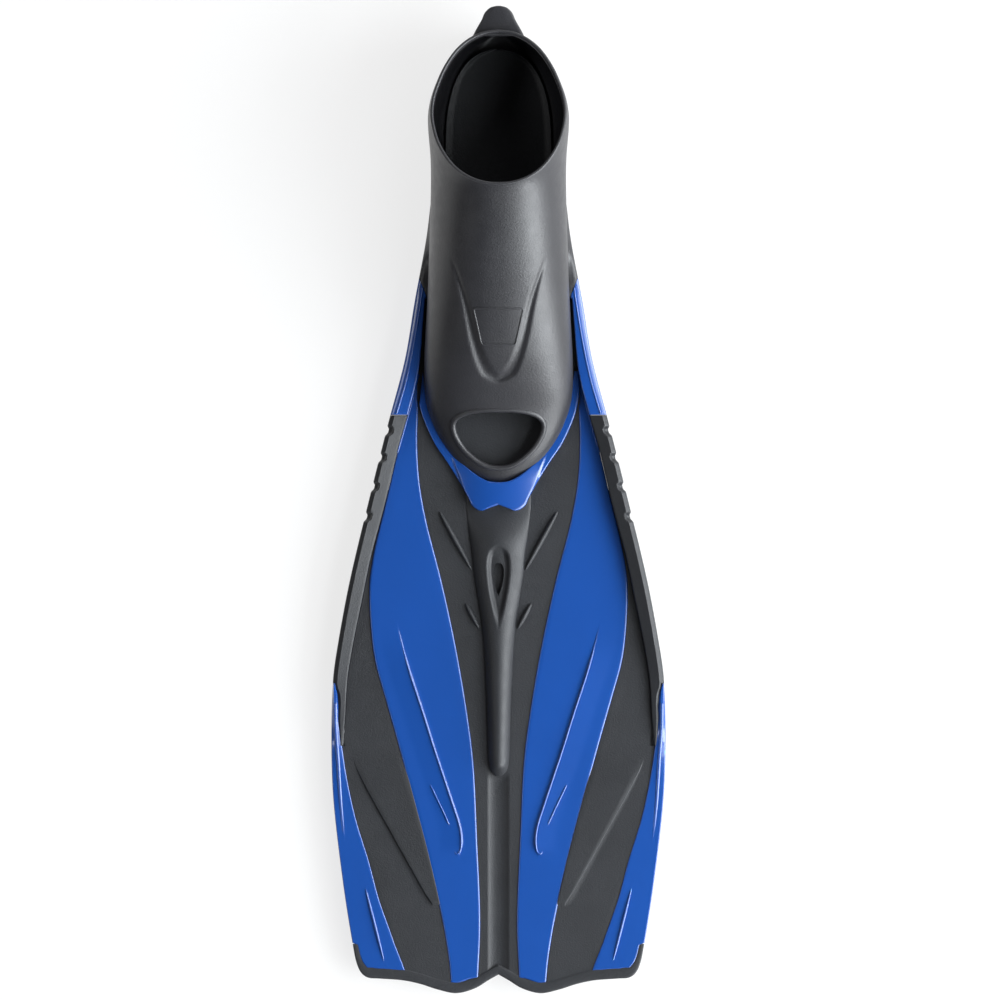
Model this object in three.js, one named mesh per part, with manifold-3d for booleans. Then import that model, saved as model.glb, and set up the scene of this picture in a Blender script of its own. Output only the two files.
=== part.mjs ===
// A full-foot swim fin: a soft foot pocket on a blue chassis, and a blade of blue panels and black
// rubber channels between two side rails. It lies sole down: +Z is up, +Y runs from the tip to the heel.
import * as THREE from 'three';
import { mergeVertices } from 'three/addons/utils/BufferGeometryUtils.js';
import Module from 'manifold-3d';

const wasm = await Module();
wasm.setup();

// Driving dimensions, in millimetres.
const GAP = 0.3; // clearance between neighbouring pieces
const HINGE_Y = -8; // line where the blade flexes
const BLADE_Z = 11; // middle plane of the blade, and height of its flex line
const RAIL_HALF_HEIGHT = 11;
const CORE_HEIGHT_SHARE = 0.6; // height of a rail's core inside its grip
const CORE_INSET = 3; // rubber left on each side of a core
const STEP = 8; // spacing of outline points along the fin
const PANEL_THICKNESS = 4;
const CHANNEL_THICKNESS = 2.8;
const ROOT_END_Y = HINGE_Y + 1.1; // where the thin pieces on the foot's side stop
const BLADE_START_Y = HINGE_Y - 1;
const RAIL_ROOT_END_Y = HINGE_Y + RAIL_HALF_HEIGHT + 0.5;
const TIP_Y = -292;
const GRIP_TOP_Y = 50; // where the foot's grips begin
const GRIP_TAIL_Y = -136;
const SIDE_TOP_Y = -109; // where the blue outer panels begin
const RAIL_TOP_Y = 131; // where the blue rails leave the fairings
const FAIRING_TOP_Y = 176;
const PANEL_TOP_Y = 52;

const OUTSOLE_TOP_Z = 3.7;
const PLATE_BOTTOM_Z = 4;
const PLATE_TOP_Z = 6;
const POCKET_BOTTOM_Z = 6.3;
const WALL = 3.2;
const FOOTBED_TOP_Z = 12;
const TOE_END_Y = 9.4;
const HEEL_END_Y = 277;
const RIM_FRONT = { y: 185, z: 92 };
const RIM_BACK = { y: 277, z: 58 };

const VENT = { y: -46.6, width: 6.2, length: 19 };
const TAB = { rootY: 278.4, endY: 291, z: 53, thickness: 4 };

const black = { color: 0x3a3b3f, roughness: 0.55, metalness: 0 };
const softBlack = { color: 0x45474c, roughness: 0.6, metalness: 0 };
const blue = { color: 0x2156aa, roughness: 0.35, metalness: 0 };

// A smooth value along the fin, through points [y, value] with y falling.
function along(points) {
  const last = points.length - 1;
  const slopes = points.map((point, i) => {
    const before = points[Math.max(i - 1, 0)];
    const after = points[Math.min(i + 1, last)];
    return (after[1] - before[1]) / (after[0] - before[0]);
  });
  return (y) => {
    if (y >= points[0][0]) return points[0][1];
    if (y <= points[last][0]) return points[last][1];
    const i = points.findIndex((point) => point[0] <= y) - 1;
    const span = points[i + 1][0] - points[i][0];
    const t = (y - points[i][0]) / span;
    const rise = t * t * (3 - 2 * t);
    const bow = t * (1 - t) * span;
    return points[i][1] * (1 - rise) + points[i + 1][1] * rise
      + bow * (slopes[i] * (1 - t) - slopes[i + 1] * t);
  };
}

// Half-widths of the fin's boundaries, measured from the centreline.
const silhouette = along([
  [177, 39.8], [153, 42.8], [118, 49.3], [83, 55.2], [47, 64.6], [0, 76.4], [-47, 87.6], [-83, 94.4],
  [-106, 97.6], [-142, 98.8], [-177, 97.4], [-224, 92], [-260, 86.4], [-275, 83],
]);
const railInner = along([
  [131, 42.6], [106, 44.4], [75, 47.3], [52, 53], [29, 59.6], [0, 66.4], [-18, 71.2], [-35, 75.6],
  [-59, 80.5], [-83, 85.4], [-106, 89.1], [-130, 90.6], [-145, 91.9],
]);
const panelOuter = along([
  [24, 61], [0, 66.4], [-24, 72.2], [-36, 74.6], [-50, 76.3], [-71, 75.8], [-94, 73.2], [-118, 66.7],
  [-142, 59.9], [-177, 50.4], [-212, 41.3], [-248, 33.3], [-271, 29.5], [-283, 28.3],
]);
const panelInner = along([
  [53, 47.2], [35, 47.8], [12, 46.6], [-12, 42.5], [-47, 33.6], [-83, 25.7], [-118, 19.5], [-153, 14.8],
  [-201, 12.4], [-248, 10.6], [-283, 11.8],
]);
const sideInner = along([
  [-106, 97], [-118, 94.1], [-130, 94.1], [-142, 92.6], [-165, 89.1], [-189, 83.8], [-212, 76.7],
  [-236, 70.2], [-260, 62], [-276, 56.6],
]);
const yokeOuter = along([[52, 45], [47, 42.8], [35, 38.6], [24, 33.3], [12, 26.3], [0, 18.4]]);
const keelHalf = along([
  [-12, 19.3], [-35, 16.2], [-77, 9.6], [-106, 7.8], [-140, 6.6], [-156, 6], [-161, 4], [-163, 1.5],
]);

// Half-heights of the rails and the blade.
const railFall = along([[0, 11], [-60, 9], [-108, 6], [-150, 2.6], [-283, 1.7]]);
const railHalfHeight = (y) => Math.min(RAIL_HALF_HEIGHT, railFall(y));
const fairingHalfHeight = along([[176, 4], [160, 7.5], [131, 9.5]]);
const bladeTaper = along([[60, 1], [0, 1], [-283, 0.75]]);

// The foot pocket: half-width and top, from the heel to the toe.
const pocketHalf = along([
  [HEEL_END_Y, 3], [276, 9], [272, 18], [265.5, 24.8], [257, 31.2], [248, 35.7], [236, 40], [224, 41.6],
  [200, 40], [177, 40], [118, 42], [77, 44], [59, 42], [47, 37.5], [35, 32], [24, 25.4], [12, 11],
  [TOE_END_Y, 4],
]);
const pocketTop = along([
  [HEEL_END_Y, 150], [240, 148], [215, 126], [200, 106], [185, 92], [147, 78], [118, 66], [88, 55], [70, 45], [52, 34],
  [35, 27], [24, 23], [12, 17], [TOE_END_Y, 14.5],
]);

function solidOf(geometry) {
  const plain = geometry.index ? geometry.clone() : geometry;
  plain.deleteAttribute('normal');
  plain.deleteAttribute('uv');
  const merged = mergeVertices(plain, 1e-4);
  return new wasm.Manifold(new wasm.Mesh({
    numProp: 3,
    vertProperties: new Float32Array(merged.attributes.position.array),
    triVerts: new Uint32Array(merged.index.array),
  }));
}

function geometryOf(solid) {
  const mesh = solid.getMesh();
  const geometry = new THREE.BufferGeometry();
  geometry.setAttribute('position', new THREE.BufferAttribute(mesh.vertProperties, 3));
  geometry.setIndex(new THREE.BufferAttribute(mesh.triVerts, 1));
  geometry.computeVertexNormals();
  return geometry;
}

// The left piece is the right piece seen in a mirror, with its triangles turned to face out again.
function mirrored(geometry) {
  const copy = geometry.clone();
  const position = copy.attributes.position;
  for (let i = 0; i < position.count; i += 1) {
    position.setX(i, -position.getX(i));
  }
  const index = copy.index;
  for (let i = 0; i < index.count; i += 3) {
    const first = index.getX(i);
    index.setX(i, index.getX(i + 1));
    index.setX(i + 1, first);
  }
  copy.computeVertexNormals();
  return copy;
}

function outlineOf(points) {
  return new THREE.Shape(points.map(([x, y]) => new THREE.Vector2(x, y)));
}

// A right-hand strip between two boundaries, with an outline point every few millimetres.
function bandPoints(inner, outer, topY, bottomY) {
  const count = Math.max(1, Math.round((topY - bottomY) / STEP));
  const stations = Array.from({ length: count + 1 }, (_, i) => topY + ((bottomY - topY) * i) / count);
  const innerSide = stations.map((y) => [inner(y), y]);
  const outerSide = stations.map((y) => [outer(y), y]);
  return [...innerSide, ...outerSide.reverse()];
}

// A flat piece with the outline in plan, standing evenly about a height, thinned along the fin.
function slab(shape, middleZ, halfHeightAt, bevel = 0) {
  const geometry = new THREE.ExtrudeGeometry(shape, {
    depth: 2,
    bevelEnabled: bevel > 0,
    bevelSize: bevel,
    bevelOffset: -bevel,
    bevelThickness: bevel * 0.5,
    bevelSegments: 2,
    curveSegments: 8,
  });
  geometry.computeBoundingBox();
  const low = geometry.boundingBox.min.z;
  const high = geometry.boundingBox.max.z;
  const position = geometry.attributes.position;
  for (let i = 0; i < position.count; i += 1) {
    const share = (2 * (position.getZ(i) - low)) / (high - low) - 1;
    position.setZ(i, middleZ + share * halfHeightAt(position.getY(i)));
  }
  return solidOf(geometry);
}

function plate(shape, bottomZ, topZ, bevel = 0) {
  return slab(shape, (bottomZ + topZ) / 2, () => (topZ - bottomZ) / 2, bevel);
}

const shifted = (boundary, distance) => (y) => boundary(y) + distance;

function box(low, high) {
  const geometry = new THREE.BoxGeometry(high[0] - low[0], high[1] - low[1], high[2] - low[2]);
  geometry.translate((low[0] + high[0]) / 2, (low[1] + high[1]) / 2, (low[2] + high[2]) / 2);
  return solidOf(geometry);
}

// Foot pocket -------------------------------------------------------------------------------------

// A closed form with a boxy sole and a round top, shrunk on all sides by an inset.
function footForm(inset) {
  const rings = 30;
  const segments = 40;
  const geometry = new THREE.SphereGeometry(1, segments, rings);
  geometry.rotateX(Math.PI / 2); // poles on the Y axis: +Y is the heel
  const position = geometry.attributes.position;
  const middleY = (HEEL_END_Y + TOE_END_Y) / 2;
  const halfLength = (HEEL_END_Y - TOE_END_Y) / 2 - inset;
  for (let i = 0; i < position.count; i += 1) {
    const polar = Math.acos(THREE.MathUtils.clamp(position.getY(i), -1, 1));
    const y = middleY + halfLength * Math.cos(polar);
    const angle = Math.atan2(position.getZ(i), position.getX(i));
    const atPole = Math.sin(polar) < 1e-5;
    const bottom = POCKET_BOTTOM_Z + inset;
    const top = pocketTop(y) - inset;
    const widest = bottom + 0.3 * (top - bottom);
    const half = Math.max(pocketHalf(y) - inset, 1);
    const power = Math.sin(angle) < 0 ? 0.5 : 0.85;
    const reach = angle > 0 ? top - widest : widest - bottom;
    const across = Math.sign(Math.cos(angle)) * Math.abs(Math.cos(angle)) ** power;
    const upward = Math.sign(Math.sin(angle)) * Math.abs(Math.sin(angle)) ** power;
    position.setXYZ(i, atPole ? 0 : half * across, y, atPole ? widest : widest + reach * upward);
  }
  return solidOf(geometry);
}

function aboveRim() {
  const size = 200;
  const slope = Math.atan2(RIM_BACK.z - RIM_FRONT.z, RIM_BACK.y - RIM_FRONT.y);
  const geometry = new THREE.BoxGeometry(size, size, size);
  geometry.translate(0, size / 2 - 40, size / 2);
  geometry.rotateX(slope);
  geometry.translate(0, RIM_FRONT.y, RIM_FRONT.z);
  return solidOf(geometry);
}

function toeOpening() {
  const shape = new THREE.Shape();
  shape.moveTo(-24, 51.5);
  shape.quadraticCurveTo(0, 53.5, 24, 51.5);
  shape.quadraticCurveTo(27.5, 50.5, 26, 45.5);
  shape.bezierCurveTo(22, 31, 11, 20.2, 0, 20.2);
  shape.bezierCurveTo(-11, 20.2, -22, 31, -26, 45.5);
  shape.quadraticCurveTo(-27.5, 50.5, -24, 51.5);
  return plate(shape, FOOTBED_TOP_Z + 1, 70);
}

function fairing() {
  const insideWall = shifted(pocketHalf, -WALL / 2);
  const shape = outlineOf(bandPoints(insideWall, silhouette, FAIRING_TOP_Y, RAIL_TOP_Y + GAP));
  return slab(shape, BLADE_Z, fairingHalfHeight);
}

function footPocket() {
  const right = fairing();
  const left = solidOf(mirrored(geometryOf(right)));
  return footForm(0).add(right).add(left)
    .subtract(footForm(WALL))
    .subtract(aboveRim())
    .subtract(toeOpening());
}

function footbed() {
  return footForm(WALL + GAP).intersect(box([-60, 0, 0], [60, 300, FOOTBED_TOP_Z]));
}

function soleShape(inset) {
  const points = bandPoints(() => 0, shifted(pocketHalf, -inset), HEEL_END_Y - inset, 30)
    .filter(([x]) => x > 0);
  const leftSide = points.map(([x, y]) => [-x, y]).reverse();
  return outlineOf([...points, ...leftSide]);
}

function outsole() {
  return plate(soleShape(6), 0, OUTSOLE_TOP_Z, 1);
}

// Chassis and rails -------------------------------------------------------------------------------

function yokeShape() {
  const arm = 52;
  const shape = new THREE.Shape();
  shape.moveTo(0, -2.8);
  shape.bezierCurveTo(3, -3.4, 5, -6.6, 10.6, -6.6);
  shape.bezierCurveTo(15.5, -6.6, 17, -3, 18, 0);
  for (let y = 6; y <= arm; y += 6) {
    shape.lineTo(yokeOuter(y) - GAP, y);
  }
  shape.lineTo(40.6, arm);
  shape.lineTo(38.7, 47);
  shape.lineTo(33.4, 35);
  shape.lineTo(26.8, 24);
  shape.lineTo(12.7, 11.2);
  shape.lineTo(0, 8.6);
  return shape;
}

function chassis() {
  const right = plate(yokeShape(), PLATE_BOTTOM_Z, 16.5);
  const left = solidOf(mirrored(geometryOf(right)));
  const overlap = box([-0.5, -2.9, PLATE_BOTTOM_Z], [0.5, 8.5, 16.5]);
  const footPlate = plate(soleShape(9), PLATE_BOTTOM_Z, PLATE_TOP_Z);
  const tongue = box([-11, 4, PLATE_BOTTOM_Z], [11, 40, PLATE_TOP_Z]);
  return right.add(left).add(overlap).add(footPlate).add(tongue);
}

// A rail's outline between two lengths, with shallow notches in its outer edge.
function railSlab(topY, bottomY, notches) {
  const shape = outlineOf(bandPoints(shifted(railInner, GAP), silhouette, topY, bottomY));
  let rail = slab(shape, BLADE_Z, railHalfHeight);
  for (const y of notches) {
    const notch = new THREE.CylinderGeometry(3, 3, 60, 16);
    notch.rotateX(Math.PI / 2);
    notch.translate(silhouette(y) + 1.4, y, BLADE_Z);
    rail = rail.subtract(solidOf(notch));
  }
  return rail;
}

// The blue core inside a grip: narrower and lower than the rail around it.
function core(topY, bottomY, clearance) {
  const inner = shifted(railInner, CORE_INSET - clearance);
  const outer = shifted(silhouette, clearance - CORE_INSET);
  const height = (y) => railHalfHeight(y) * CORE_HEIGHT_SHARE + clearance;
  return slab(outlineOf(bandPoints(inner, outer, topY, bottomY)), BLADE_Z, height);
}

function railRoot() {
  const rail = railSlab(RAIL_TOP_Y, GRIP_TOP_Y + GAP, []);
  return rail.add(core(GRIP_TOP_Y + 2, RAIL_ROOT_END_Y + 3, 0));
}

function gripRoot() {
  return railSlab(GRIP_TOP_Y, RAIL_ROOT_END_Y, [40.7, 24.8, 10])
    .subtract(core(GRIP_TOP_Y + 3, RAIL_ROOT_END_Y + 2.5, GAP));
}

// The blade's grip has a round end about the flex line, so it turns clear of the foot's grip.
function roundEnd() {
  const knuckle = new THREE.CylinderGeometry(RAIL_HALF_HEIGHT, RAIL_HALF_HEIGHT, 60, 32);
  knuckle.rotateZ(Math.PI / 2);
  knuckle.translate(80, HINGE_Y, BLADE_Z);
  return solidOf(knuckle).add(box([50, TIP_Y, -5], [110, HINGE_Y, 30]));
}

function railGrip() {
  const bluePart = bandPoints(shifted(sideInner, -GAP), shifted(silhouette, 5), SIDE_TOP_Y + GAP, TIP_Y);
  return railSlab(HINGE_Y + RAIL_HALF_HEIGHT, GRIP_TAIL_Y, [-10])
    .intersect(roundEnd())
    .subtract(plate(outlineOf(bluePart), -20, 40))
    .subtract(core(HINGE_Y, -120, GAP));
}

// Blade -------------------------------------------------------------------------------------------

// The rubber edge along the tip: the right half's outer and inner lines, centre to corner.
const hemOuter = [
  [0, -280], [6, -283.4], [14, -288.2], [24.8, -291], [36, -288.8], [46, -285.6], [56.6, -283.4],
  [70, -282.4], [77, -281.8], [81.4, -278.4], [84.2, -271.5], [silhouette(-262), -262],
];
const hemInner = [
  [0, -275], [6, -278], [14, -282.4], [24.8, -285.2], [36, -283.2], [46, -280], [56.6, -277.6],
  [70, -276.8], [75.5, -276.2], [78.6, -274], [81, -269.5], [silhouette(-262) - 3, -262],
];

const mirroredPoints = (points) => points.map(([x, y]) => [-x, y]).reverse();

function tipHem() {
  const outer = [...mirroredPoints(hemOuter).slice(0, -1), ...hemOuter];
  const inner = [...mirroredPoints(hemInner).slice(0, -1), ...hemInner];
  return slab(outlineOf([...outer, ...inner.reverse()]), BLADE_Z, () => 2);
}

// Everything on the tip's side of the hem's inner line, for trimming the panels and channels.
function beyondHem() {
  const inner = [...mirroredPoints(hemInner).slice(0, -1), ...hemInner];
  const line = inner.map(([x, y]) => [x - Math.sign(x) * 0.15, y + GAP]);
  const top = -262 + GAP;
  const outline = [[-120, top], ...line, [120, top], [120, -320], [-120, -320]];
  return plate(outlineOf(outline), -20, 40);
}

function panelThickness(y) {
  return (PANEL_THICKNESS / 2) * bladeTaper(y);
}

function channelThickness(y) {
  return (CHANNEL_THICKNESS / 2) * bladeTaper(y);
}

function panelRoot() {
  const inner = shifted(panelInner, GAP);
  const outer = railInner;
  return slab(outlineOf(bandPoints(inner, outer, PANEL_TOP_Y, ROOT_END_Y)), BLADE_Z, panelThickness);
}

function channelRoot() {
  const shape = outlineOf(bandPoints(yokeOuter, panelInner, PANEL_TOP_Y, ROOT_END_Y));
  return slab(shape, BLADE_Z, channelThickness);
}

function innerPanel() {
  const inner = shifted(panelInner, GAP);
  const outer = (y) => Math.min(panelOuter(y), railInner(y));
  const shape = outlineOf(bandPoints(inner, outer, BLADE_START_Y, TIP_Y));
  return slab(shape, BLADE_Z, panelThickness).subtract(beyondHem());
}

function outerPanel() {
  const shape = outlineOf(bandPoints(sideInner, silhouette, SIDE_TOP_Y, TIP_Y));
  const panel = slab(shape, BLADE_Z, (y) => railHalfHeight(y)).subtract(beyondHem());
  return panel.add(core(HINGE_Y - 4, -114, 0));
}

function outerChannel() {
  const inner = shifted(panelOuter, GAP);
  const outer = (y) => (y > GRIP_TAIL_Y ? railInner(y) : sideInner(y) - GAP);
  const shape = outlineOf(bandPoints(inner, outer, -38, TIP_Y));
  return slab(shape, BLADE_Z, channelThickness).subtract(beyondHem());
}

// The keel's vent: a slot with round ends.
function ventCutter() {
  const hole = new THREE.Shape();
  const half = VENT.width / 2;
  const straight = (VENT.length - VENT.width) / 2;
  hole.absarc(0, VENT.y + straight, half, 0, Math.PI);
  hole.absarc(0, VENT.y - straight, half, Math.PI, 2 * Math.PI);
  return plate(hole, -5, 30);
}

function centreChannel() {
  const right = bandPoints(() => 0, panelInner, BLADE_START_Y, TIP_Y).filter(([x]) => x > 0);
  const shape = outlineOf([...right, ...mirroredPoints(right)]);
  return slab(shape, BLADE_Z, channelThickness).subtract(beyondHem());
}

function keel() {
  const right = bandPoints(() => 0, keelHalf, -12, -163).filter(([x]) => x > 0);
  const shape = outlineOf([...right, ...mirroredPoints(right)]);
  const bottom = BLADE_Z + CHANNEL_THICKNESS / 2 + GAP;
  return plate(shape, bottom, bottom + 5, 1.2).subtract(ventCutter());
}

// Heel tab ----------------------------------------------------------------------------------------

function heelTab() {
  const shape = new THREE.Shape();
  shape.moveTo(13, TAB.rootY);
  shape.quadraticCurveTo(11.2, 282, 9, 284.8);
  shape.quadraticCurveTo(6.5, TAB.endY, 0, TAB.endY);
  shape.quadraticCurveTo(-6.5, TAB.endY, -9, 284.8);
  shape.quadraticCurveTo(-11.2, 282, -13, TAB.rootY);
  return plate(shape, TAB.z - TAB.thickness / 2, TAB.z + TAB.thickness / 2);
}

// Assembly ----------------------------------------------------------------------------------------

const fin = new THREE.Group();

function addMesh(name, geometry, look) {
  const mesh = new THREE.Mesh(geometry, new THREE.MeshStandardMaterial(look));
  mesh.name = name;
  fin.add(mesh);
}

function addPair(name, solid, look) {
  const right = geometryOf(solid);
  addMesh(`${name}_right`, right, look);
  addMesh(`${name}_left`, mirrored(right), look);
}

addMesh('foot_pocket', geometryOf(footPocket()), black);
addMesh('footbed', geometryOf(footbed()), softBlack);
addMesh('outsole', geometryOf(outsole()), black);
addMesh('chassis', geometryOf(chassis()), blue);
addPair('rail_root', railRoot(), blue);
addPair('grip_root', gripRoot(), softBlack);
addPair('panel_root', panelRoot(), blue);
addPair('channel_root', channelRoot(), black);

addPair('rail_grip', railGrip(), softBlack);
addPair('inner_panel', innerPanel(), blue);
addPair('outer_panel', outerPanel(), blue);
addPair('outer_channel', outerChannel(), black);
addMesh('centre_channel', geometryOf(centreChannel()), black);
addMesh('keel', geometryOf(keel()), black);
addMesh('tip_hem', geometryOf(tipHem()), black);

addMesh('heel_tab', geometryOf(heelTab()), black);

export default fin;
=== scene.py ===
"""A full-foot swim fin, seen from above: soft black foot pocket, blue blade panels, black rubber channels."""
import math

import bmesh
import bpy
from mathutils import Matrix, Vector

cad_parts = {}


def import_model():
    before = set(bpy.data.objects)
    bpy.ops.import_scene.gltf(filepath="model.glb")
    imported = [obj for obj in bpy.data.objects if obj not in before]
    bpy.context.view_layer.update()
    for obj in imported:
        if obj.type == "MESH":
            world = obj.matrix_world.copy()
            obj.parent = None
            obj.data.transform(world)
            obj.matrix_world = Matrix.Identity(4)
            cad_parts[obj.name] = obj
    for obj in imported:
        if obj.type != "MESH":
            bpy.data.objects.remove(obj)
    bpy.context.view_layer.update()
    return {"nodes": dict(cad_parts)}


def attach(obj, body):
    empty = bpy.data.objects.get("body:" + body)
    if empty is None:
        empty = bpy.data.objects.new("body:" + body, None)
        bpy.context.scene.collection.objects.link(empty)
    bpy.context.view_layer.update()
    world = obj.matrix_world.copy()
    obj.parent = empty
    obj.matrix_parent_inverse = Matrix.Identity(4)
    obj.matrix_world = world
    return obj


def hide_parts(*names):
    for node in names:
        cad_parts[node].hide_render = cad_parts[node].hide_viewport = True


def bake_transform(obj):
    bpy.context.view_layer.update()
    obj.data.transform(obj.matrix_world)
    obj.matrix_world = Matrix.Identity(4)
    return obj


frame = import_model()

# Sizes are in millimetres; meshes are made in metres.
MM = 0.001
BLADE_Z = 11.0
HEEL_END_Y = 277.0
TOE_END_Y = 9.4
POCKET_BOTTOM_Z = 6.3
WALL = 1.9
RIM_FRONT = (185.0, 92.0)
RIM_BACK = (277.0, 58.0)
TIP_END_Y = -284.0
GUTTER_HALF = 6.3
GRIP_TOP_Y = 50.0
GRIP_TAIL_Y = -145.0
RAIL_TOP_Y = 131.0
NOTCHES = (40.7, 24.8, 7.7, -10.0)

# The stage, in metres.
FLOOR_HALF_SIZE = 60.0
FLOOR_DROP = 0.0005  # keeps the floor clear of the sole
FLOOR_GLOW = 0.76
CAMERA_HEIGHT = 20.0
CAMERA_X = 0.0009
VIEW_WIDTH = 0.590
SENSOR_MM = 36


def smooth(low, high, value):
    """0 below low, 1 above high, smooth between them; low may be above high."""
    t = min(max((value - low) / (high - low), 0.0), 1.0)
    return t * t * (3 - 2 * t)


def along(*points):
    """A smooth value along the fin through (y, value) points, y falling."""
    last = len(points) - 1

    def slope(i):
        before = points[max(i - 1, 0)]
        after = points[min(i + 1, last)]
        return (after[1] - before[1]) / (after[0] - before[0])

    slopes = [slope(i) for i in range(last + 1)]

    def value(y):
        if y >= points[0][0]:
            return points[0][1]
        if y <= points[last][0]:
            return points[last][1]
        i = next(k for k in range(last) if points[k + 1][0] <= y)
        span = points[i + 1][0] - points[i][0]
        t = (y - points[i][0]) / span
        rise = t * t * (3 - 2 * t)
        bow = t * (1 - t) * span
        straight = points[i][1] * (1 - rise) + points[i + 1][1] * rise
        return straight + bow * (slopes[i] * (1 - t) - slopes[i + 1] * t)

    return value


# Half-widths of the boundaries in plan, from the centreline.
silhouette = along(
    (177, 39.8), (153, 42.8), (118, 49.3), (83, 55.2), (47, 64.6), (0, 76.4), (-47, 87.6), (-83, 94.4),
    (-106, 97.6), (-142, 98.6), (-177, 97.4), (-224, 92), (-260, 86.4), (-275, 83))
rail_inner = along(
    (131, 42.6), (106, 44.4), (75, 47.3), (52, 53), (29, 59.6), (0, 66.4), (-18, 71.2), (-35, 75.6),
    (-59, 80.5), (-83, 85.4), (-106, 89.1), (-130, 90.6), (-145, 91.9))
panel_outer = along(
    (52, 53), (24, 61), (0, 66.4), (-24, 72.2), (-36, 74.6), (-50, 76.3), (-71, 75.8), (-94, 73.2),
    (-118, 66.7), (-142, 59.9), (-177, 50.4), (-212, 41.3), (-248, 33.3), (-271, 29.5), (-283, 28.3))
panel_inner = along(
    (53, 47.2), (35, 47.8), (12, 46.6), (-12, 42.5), (-47, 33.6), (-83, 25.7), (-118, 19.5), (-153, 14.8),
    (-201, 12.4), (-248, 10.6), (-283, 11.8))
side_inner = along(
    (-106, 97), (-118, 94.1), (-130, 94.1), (-142, 92.6), (-165, 89.1), (-189, 83.8), (-212, 76.7),
    (-236, 70.2), (-260, 61.8), (-276, 57.2), (-284, 55.1))
yoke_outer = along((75, 47.5), (52, 45), (46, 43.6), (33.5, 37.8), (24, 31.5), (12, 23.8), (0, 17))
keel_half = along(
    (8, 19), (2, 19.2), (-6, 19), (-19, 17.6), (-32, 15.9), (-44, 14.7), (-77, 9.8), (-106, 7.9),
    (-140, 6.7), (-156, 6), (-161, 4), (-163, 1.5))
pocket_half = along(
    (277, 0.8), (276.5, 5.5), (275, 11), (271.5, 18), (265.5, 25), (257, 31.2), (248, 35.7),
    (236, 40), (224, 41.6),
    (200, 40), (177, 40), (118, 42), (77, 44), (59, 43), (47, 39.6), (35, 34), (24, 26.2),
    (16, 18), (12, 11.6), (9.4, 4))
pocket_top = along(
    (277, 150), (240, 148), (215, 126), (200, 106), (185, 92), (147, 78), (118, 66), (88, 55),
    (70, 45), (52, 34),
    (35, 27), (24, 23), (12, 17), (9.4, 14.5))
rail_fall = along((0, 11), (-60, 9), (-108, 6), (-150, 2.6), (-283, 1.7))


def rail_half_height(y):
    return min(11.0, rail_fall(y))


def blade_taper(y):
    return 1 - 0.25 * smooth(0, -283, y)


# Mesh helpers ------------------------------------------------------------------------------------

def mesh_object(name, points, faces):
    """An object from points in millimetres, with its faces turned out and smooth."""
    mesh = bpy.data.meshes.new(name)
    mesh.from_pydata([Vector(p) * MM for p in points], [], faces)
    work = bmesh.new()
    work.from_mesh(mesh)
    bmesh.ops.remove_doubles(work, verts=work.verts, dist=1e-7)
    bmesh.ops.recalc_face_normals(work, faces=work.faces)
    for face in work.faces:
        face.smooth = True
    work.to_mesh(mesh)
    work.free()
    made = bpy.data.objects.new(name, mesh)
    bpy.context.scene.collection.objects.link(made)
    return made


def loft(name, rings, closed=False):
    """A skin over rings of equally many points; open lofts get a cap at each end."""
    count = len(rings[0])
    points = [point for ring in rings for point in ring]
    spans = len(rings) if closed else len(rings) - 1
    faces = []
    for i in range(spans):
        a = i * count
        b = ((i + 1) % len(rings)) * count
        for j in range(count):
            k = (j + 1) % count
            faces.append((a + j, a + k, b + k, b + j))
    if not closed:
        faces.append(tuple(range(count)))
        faces.append(tuple(range(len(points) - count, len(points))))
    return mesh_object(name, points, faces)


def columns(low, high, radius, count, pins=()):
    """Places across a strip: close together at both rounded edges and at pinned lines."""
    width = high - low
    edge = min(radius, 0.45 * width)
    near = [low + edge * share for share in (0.0, 0.06, 0.25, 0.55, 1.0)]
    far = [low + high - x for x in reversed(near)]
    inside = []
    stops = [near[-1], *pins, far[0]]
    share = max(2, count // (len(stops) - 1))
    for start, end in zip(stops, stops[1:]):
        inside += [start + (end - start) * i / share for i in range(1, share)]
        inside.append(end)
    return near + inside[:-1] + far


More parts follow.
